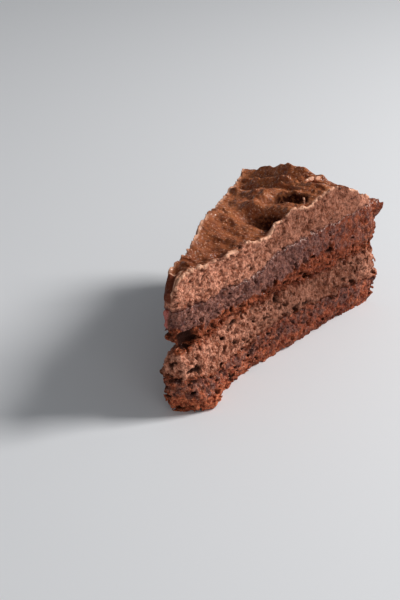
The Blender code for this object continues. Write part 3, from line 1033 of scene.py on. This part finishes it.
def add_torn_relief(form):
    """How deep the torn food sinks in: the broad lumps, then the granules and pits on them."""
    coarse, form.medium, form.fine, finest = [smooth_noise(waves) for waves in LUMP_WAVES]
    pits = FINE_PIT * fade(*FINE_RANGE, form.fine) + FINEST_PIT * fade(*FINEST_RANGE, finest)
    either = (form.walls, form.topping_walls)
    band = (np.maximum(*either) > GRAIN_BAND[0]) & (np.minimum(*either) < GRAIN_BAND[1])
    places = np.argwhere(band).astype(np.float32) * STEP + GRID_LOW.astype(np.float32)
    grain = np.zeros(SHAPE, np.float32)
    grain[band] = sum(share * (nearest_crumb(places, size) - 0.5) for share, size in GRANULES)
    in_topping = Z > form.heights[3]
    in_soak = (Z > form.soaked_foot) & ~in_topping
    in_crumb = (Z > form.heights[2]) & ~in_soak & ~in_topping
    strength = np.ones(SHAPE, np.float32)
    strength[in_topping | in_soak] = SMOOTH_DETAIL
    strength[in_crumb] = CRUMB_DETAIL
    calm = rear_calm(Y)
    lumps = COARSE_LUMP * coarse + MEDIUM_LUMP * form.medium
    form.broad = lumps * np.where(in_topping, TOPPING_LUMPS, OTHER_LUMPS) * at_least(LEAST_LUMPS, calm)
    form.detail = (grain + pits - MEAN_PITTING) * strength * (LEAST_DETAIL + DETAIL_GAIN * calm)


def make_form():
    """The fields that the layers share: walls, seams, crown, torn relief and pores."""
    form = SimpleNamespace()
    body_walls, from_rim = food_walls()
    form.walls = blend_min(body_walls, from_rim, END_BLEND)
    form.topping_walls = blend_min(body_walls, from_rim - TOPPING_SET_BACK, TOPPING_BLEND)
    wobble = noise_sum(SEAM_NOISE)
    form.heights = [0 * X + 0 * Y]
    for stations in (LOWER_SPONGE_TOP, FILLING_TOP, UPPER_SPONGE_TOP):
        form.heights.append(boundary(stations) + wobble)
    crown = crown_height()
    # Painted shade where the crown lies below its smoothed ground
    form.sunk = np.broadcast_to(MOST_SUNK * fade(*SUNK_RANGE, smoothed(crown) - crown), SHAPE)
    form.heights.append(crown + cut_lip())
    form.soaked_foot = boundary(SOAKED_BAND_FOOT) + SOAKED_FOOT_WOBBLE * wobble
    add_torn_relief(form)
    form.pores = carve_pores(form)
    form.cavity = np.full(SHAPE, FAR, np.float32)
    carve_hollows(form.cavity, form.medium, CAVITY)
    return form


# What each layer's material reads besides, worked out at the layer's vertices


def lower_sponge_looks(at):
    damp = 0.35 * fade(18, 45, at.y)
    return {"other": np.maximum(damp, 0.62 * fade(3, 9, at.z)), "wet": 0.3}


def filling_looks(at):
    near_seam = np.maximum(0.8 * fade(3.4, 0.2, at.under), 0.75 * fade(3.0, 0.2, at.over))
    redder = 0.35 * fade(70, 95, at.y) * fade(122, 112, at.y)
    other = np.maximum(near_seam, np.maximum(redder, 0.2 * fade(26, 12, at.y)))
    # Painted shade round the crumb on the tip's left side, as in the pits
    pit = np.maximum(at.pit, 0.6 * near_strand(at.world, SIDE_CRUMB, 1.0))
    return {"other": other, "wet": 0.25, "pit": pit}


def upper_sponge_looks(at):
    soaked = fade(-1.6, 1.4, at.foot + 0.5 * at.mottle) * (1 - 0.55 * fade(60, 112, at.y))
    wet = at_least(0.35, fade(1.4, 0.1, at.under))
    # Wet specks along the seam under the topping, coloured partly as painted highlight
    dew_glint = 0.8 * fade(0.9, 0.2, at.under) * fade(25, 50, at.y)
    return {"other": soaked, "wet": wet, "dew_glint": dew_glint, "glaze": near_strand(at.world, DRIP, 0.8)}


def topping_looks(at):
    skin = np.maximum(fade(-0.25, 0.25, at.inside - np.abs(at.under)), at.side)
    shades = [near_strand(at.world, deep, SHADE_SPREAD) for deep in (CAVITY_SHADE, TROUGH_SHADE)]
    # Painted highlight: along the cut edges, the edge of the tip's smeared side, the glossy bump and
    # the curl
    edge = fade(1.5, 0.2, at.depth) * fade(1.5, 0.3, np.abs(at.under))
    edge = edge * fade(-1.6, 0.4, at.mottle) * (1 - at.side)
    edge = np.maximum(edge, (4 * at.side * (1 - at.side)) ** 3 * fade(45, 49, at.z))
    edge = np.maximum(edge, 0.9 * near_strand(at.world, GLOSSY_BUMP, 0.6))
    edge = np.maximum(edge, 0.8 * near_strand(at.world, CURL, 0.4) * fade(0.3, 0.8, skin))
    return {
        "skin": skin,
        # Painted shade in the topping's hollows, its cavity and the deepest trough
        "sunk": np.maximum(at.sunk, np.maximum(*shades)),
        # Painted shade in the cut's pits and on the tip's smeared side
        "pit": at.pit * (1 - skin) + 0.7 * at.side,
        "crest": edge,
        "wet": 0.15 + 0.5 * fade(1.0, 0.0, at.under),
        "other": 0.75 * fade(2.2, 0.1, at.over),
        # Wet specks along the seam, coloured partly as painted highlight
        "dew_glint": 0.8 * fade(0.8, 0.2, at.over) * fade(25, 50, at.y),
    }


LOOKS = dict(zip(LAYERS, (lower_sponge_looks, filling_looks, upper_sponge_looks, topping_looks)))


def make_layer(form, number, material):
    """One layer's closed piece: its field, the surface read off it, and what the material reads."""
    name = LAYERS[number]
    is_topping = name == "cream_topping"
    low, high = form.heights[number] + SEAM * (number > 0), form.heights[number + 1]
    rows = rows_between(low.min(), high.max() + 2)
    level = Z[:, :, rows]
    outer = (form.topping_walls if is_topping else form.walls)[:, :, rows]
    smooth = 0
    if is_topping:
        smooth = fade(*TIP_ACROSS, X - TIP_LEAN * (level - TIP_LEVEL))
        smooth = smooth * fade(*TIP_ALONG, Y) * fade(*TIP_HEIGHTS, level)
    shaped = outer - form.broad[:, :, rows]
    inner = shaped - form.detail[:, :, rows] * (1 - smooth)
    inner = np.minimum(inner, form.pores[:, :, rows] + FAR * smooth)
    above = level - low
    if is_topping:
        below = blend_min(lean_over(high, ZS[rows]), form.cavity[:, :, rows], CAVITY_BLEND)
    else:
        below = high - SEAM - level
    field = np.minimum(inner, np.minimum(above, below)).astype(np.float32)
    for stations in STRANDS[name]:
        blend = TOPPING_STRAND_BLEND if is_topping else STRAND_BLEND
        join_strand(field, rows.start, form.fine, stations, blend)
    if name == "sponge_upper":
        beside_topping = -form.topping_walls[:, :, rows] - BESIDE_TOPPING
        field = np.minimum(field, np.minimum(above, np.maximum(below, beside_topping)))
    elif name == "cream_filling":
        field = np.minimum(field, np.minimum(above, below))
    for axis in range(3):
        np.moveaxis(field, axis, 0)[[0, -1]] = -1

    cells, vertices, quads = closed_surface(field)

    def read(values):
        return read_field(np.broadcast_to(values, field.shape), vertices)

    depth, under, over = read(outer), read(below), read(above)
    at_seam = np.abs(over) < SEAM_REACH
    if not is_topping:
        at_seam |= np.abs(under) < SEAM_REACH
    buried = (depth > BURIED_DEPTH) & at_seam
    vertices, faces, first = merge_buried(cells, vertices, quads, buried, under < over)
    at = SimpleNamespace(world=vertices * STEP + GRID_LOW + (0, 0, rows.start * STEP))
    at.y, at.z = at.world[:, 1], at.world[:, 2]
    at.depth, at.under, at.over = depth[first], under[first], over[first]
    at.inside, at.mottle, at.side = read(inner), read(form.medium[:, :, rows]), read(smooth)
    at.foot, at.sunk = read(level - form.soaked_foot), read(form.sunk[:, :, rows])
    # Painted shade: how deep each vertex lies in a pit or recess, and the dark hollow at the tip
    pit = np.clip(read(shaped) / PIT_DEPTH, 0, 1) * fade(0, 0.9, np.minimum(at.under, at.over))
    at.pit = np.maximum(pit, near_strand(at.world, TIP_SHADE, 0.8))
    rough = rear_calm(at.y) + RIM_SHARE * fade(*RIM_TORN, at.y)
    measures = {"pit": at.pit, "glaze": 0, "dew_glint": 0, "rough": rough, **LOOKS[name](at)}
    piece = new_piece(name + "_food", at.world, faces, measures, material)
    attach(piece, "root")
    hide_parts(name)


def make_layers():
    form = make_form()
    foods = [torn_food(name) for name in ("lower_sponge", "whipped_filling", "moist_sponge")]
    for number, food in enumerate((*foods, whipped_topping())):
        make_layer(form, number, food.material)


# The studio's lights, each with its place from the slice, its size and its power, and the plain sky
LIGHTS = {"window": ((0.70, 0.49, 0.66), 0.35, 12.5), "fill": ((0.9, -0.9, 0.5), 0.9, 2.5)}
LIGHT_TARGET = (0, 72, 25)
SKY = (0.9, 0.95, 1, 1)
SKY_STRENGTH = 0.22
FLOOR_COLOUR = (0.78, 0.78, 0.79, 1)
FLOOR_ROUGHNESS = 0.6
FLOOR_SIZE = 4
# The photo's camera, in the cake's coordinates, with the lens and the sensor's width in millimetres
EYE = (195.0, -350.2, 244.4)
LOOKS_AT = (-2.7, 30.9, 35)
LENS = 78
SENSOR_WIDTH = 36
CLIP_START = 0.01


def make_floor():
    material = Shading("pale_floor")
    material.shade("Base Color", FLOOR_COLOUR)
    material.shade("Roughness", FLOOR_ROUGHNESS)
    bpy.ops.mesh.primitive_plane_add(size=FLOOR_SIZE)
    floor = bpy.context.object
    floor.name = "floor"
    floor.data.materials.append(material.material)


def in_row_frame(x, y, z):
    return Vector((x, y - ORIGIN_FROM_CENTRE, z)) * MM


def aim(obj, target):
    obj.rotation_euler = (target - obj.location).to_track_quat("-Z", "Y").to_euler()
    bpy.context.scene.collection.objects.link(obj)


def make_light(name, place, target, size, power):
    data = bpy.data.lights.new(name, "AREA")
    data.size = size
    data.energy = power
    light = bpy.data.objects.new(name, data)
    light.location = place
    aim(light, target)


def make_stage():
    target = in_row_frame(*LIGHT_TARGET)
    for name, (offset, size, power) in LIGHTS.items():
        make_light(name, target + Vector(offset), target, size, power)
    world = bpy.data.worlds.new("studio")
    bpy.context.scene.world = world
    world.use_nodes = True
    world.node_tree.nodes["Background"].inputs["Color"].default_value = SKY
    world.node_tree.nodes["Background"].inputs["Strength"].default_value = SKY_STRENGTH
    make_floor()


def make_camera():
    data = bpy.data.cameras.new("camera")
    data.lens = LENS
    data.sensor_width = SENSOR_WIDTH
    data.clip_start = CLIP_START
    camera = bpy.data.objects.new("camera", data)
    camera.location = in_row_frame(*EYE)
    aim(camera, in_row_frame(*LOOKS_AT))
    bpy.context.scene.camera = camera


bpy.context.scene.view_settings.view_transform = "Standard"
make_camera()
make_stage()
make_layers()
